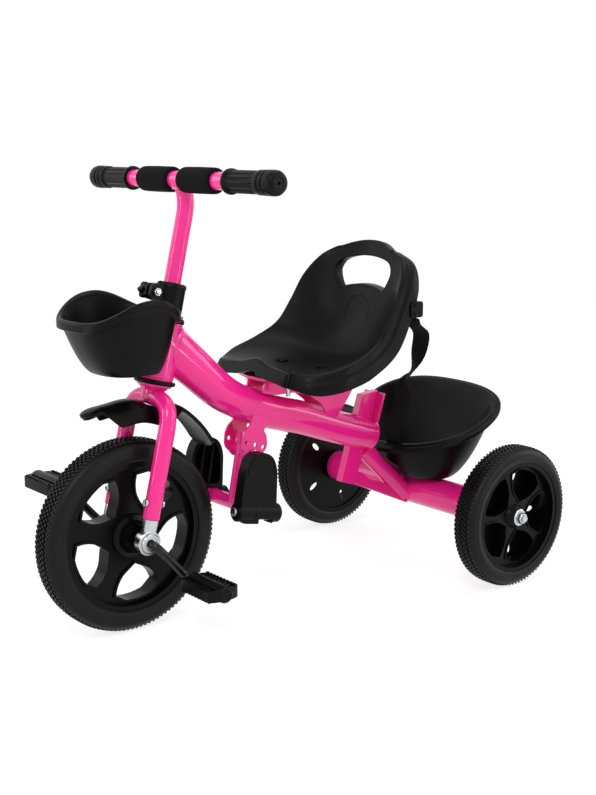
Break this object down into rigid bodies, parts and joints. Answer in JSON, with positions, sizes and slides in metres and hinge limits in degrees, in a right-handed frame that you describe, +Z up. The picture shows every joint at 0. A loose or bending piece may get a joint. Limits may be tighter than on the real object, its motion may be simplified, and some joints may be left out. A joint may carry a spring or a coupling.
{
  "type": "children's tricycle",
  "caption": "Pedal tricycle for a small child with a bucket seat, baskets at front and back, a front mudguard and a folding footrest.",
  "frame": {"origin": "on the ground, at the middle of the tricycle's length and width", "axes": "+Z up, the tricycle faces -Y, +X is the rider's left"},
  "size_m": [0.4536, 0.751, 0.5936],
  "materials": {
    "pink_paint": "gloss powder coat",
    "black_plastic": "satin moulded",
    "zinc_steel": "bright zinc plate",
    "foam_tyre": "matt foam with moulded tread",
    "foam_pad": "matt foam",
    "grip_rubber": "matt ribbed",
    "black_steel": "black satin",
    "webbing": "woven webbing"
  },
  "bodies": {
    "frame": {"main_tube": "pink_paint", "rear_upright": "pink_paint", "rear_neck": "pink_paint", "neck_link": "pink_paint", "axle_tube": "pink_paint", "head_tube": "pink_paint", "seat_bracket": "pink_paint", "footrest_bracket_left": "pink_paint", "footrest_bracket_right": "pink_paint", "axle_plug_left": "black_plastic", "axle_plug_right": "black_plastic", "front_basket": "black_plastic", "rear_basket": "black_plastic", "seat": "black_plastic", "strap_clip": "black_plastic", "rear_axle": "zinc_steel", "axle_washer_left": "zinc_steel", "axle_nut_left": "zinc_steel", "axle_washer_right": "zinc_steel", "axle_nut_right": "zinc_steel", "seat_bolt_1": "zinc_steel", "seat_bolt_2": "zinc_steel", "seat_bolt_3": "zinc_steel", "seat_bolt_4": "zinc_steel", "footrest_bolt": "zinc_steel", "basket_bracket": "zinc_steel", "strap": "webbing"},
    "steering": {"lower_headset_cover": "black_plastic", "upper_headset_cover": "black_plastic", "fork": "pink_paint", "fork_end_left": "zinc_steel", "fork_end_right": "zinc_steel", "fork_bolt_left": "zinc_steel", "fork_bolt_right": "zinc_steel", "mudguard": "black_plastic", "mudguard_bolt": "zinc_steel", "stem_clamp": "black_plastic", "clamp_nut": "zinc_steel"},
    "handlebar": {"handlebar": "pink_paint", "foam_pad_left": "foam_pad", "foam_pad_right": "foam_pad", "grip_left": "grip_rubber", "grip_right": "grip_rubber"},
    "clamp_knob": {"clamp_knob": "black_plastic"},
    "front_wheel": {"front_tyre": "foam_tyre", "front_wheel": "black_plastic", "crank": "black_steel", "hub_bush_left": "black_plastic", "hub_bush_right": "black_plastic"},
    "pedal_left": {"pedal_left": "black_plastic"},
    "pedal_right": {"pedal_right": "black_plastic"},
    "rear_wheel_left": {"rear_tyre_left": "foam_tyre", "rear_wheel_left": "black_plastic"},
    "rear_wheel_right": {"rear_tyre_right": "foam_tyre", "rear_wheel_right": "black_plastic"},
    "footrest": {"footrest_frame": "pink_paint"},
    "footplate_left": {"footplate_left": "black_plastic", "footplate_screw_left": "zinc_steel"},
    "footplate_right": {"footplate_right": "black_plastic", "footplate_screw_right": "zinc_steel"}
  },
  "joints": [
    {"name": "steering", "type": "hinge", "parent": "frame", "child": "steering", "pos_m": [0, -0.2485, 0.127], "axis": [0, 0.2334, 0.9724], "range_deg": [-40, 40]},
    {"name": "handlebar_height", "type": "slide", "parent": "steering", "child": "handlebar", "axis": [0, 0.2334, 0.9724], "range_m": [-0.05, 0.02]},
    {"name": "clamp_knob_turn", "type": "hinge", "parent": "steering", "child": "clamp_knob", "pos_m": [0, -0.20152, 0.43833], "axis": [1, 0, 0], "range_deg": [-720, 0]},
    {"name": "front_wheel_spin", "type": "hinge", "parent": "steering", "child": "front_wheel", "pos_m": [0, -0.2485, 0.127], "axis": [1, 0, 0], "continuous": true},
    {"name": "pedal_left_spin", "type": "hinge", "parent": "front_wheel", "child": "pedal_left", "pos_m": [0.1155, -0.20166, 0.07498], "axis": [1, 0, 0], "continuous": true},
    {"name": "pedal_right_spin", "type": "hinge", "parent": "front_wheel", "child": "pedal_right", "pos_m": [-0.1155, -0.29534, 0.17902], "axis": [1, 0, 0], "continuous": true},
    {"name": "rear_wheel_left_spin", "type": "hinge", "parent": "frame", "child": "rear_wheel_left", "pos_m": [0.1975, 0.2665, 0.1016], "axis": [1, 0, 0], "continuous": true},
    {"name": "rear_wheel_right_spin", "type": "hinge", "parent": "frame", "child": "rear_wheel_right", "pos_m": [-0.1975, 0.2665, 0.1016], "axis": [1, 0, 0], "continuous": true},
    {"name": "footrest_fold", "type": "hinge", "parent": "frame", "child": "footrest", "pos_m": [0, -0.0615, 0.208], "axis": [1, 0, 0], "range_deg": [0, 60]},
    {"name": "footplate_left_fold", "type": "hinge", "parent": "footrest", "child": "footplate_left", "pos_m": [0.06, -0.07524, 0.13732], "axis": [0, 0.9816, -0.1908], "range_deg": [0, 90]},
    {"name": "footplate_right_fold", "type": "hinge", "parent": "footrest", "child": "footplate_right", "pos_m": [-0.06, -0.07524, 0.13732], "axis": [0, -0.9816, 0.1908], "range_deg": [0, 90]}
  ]
}
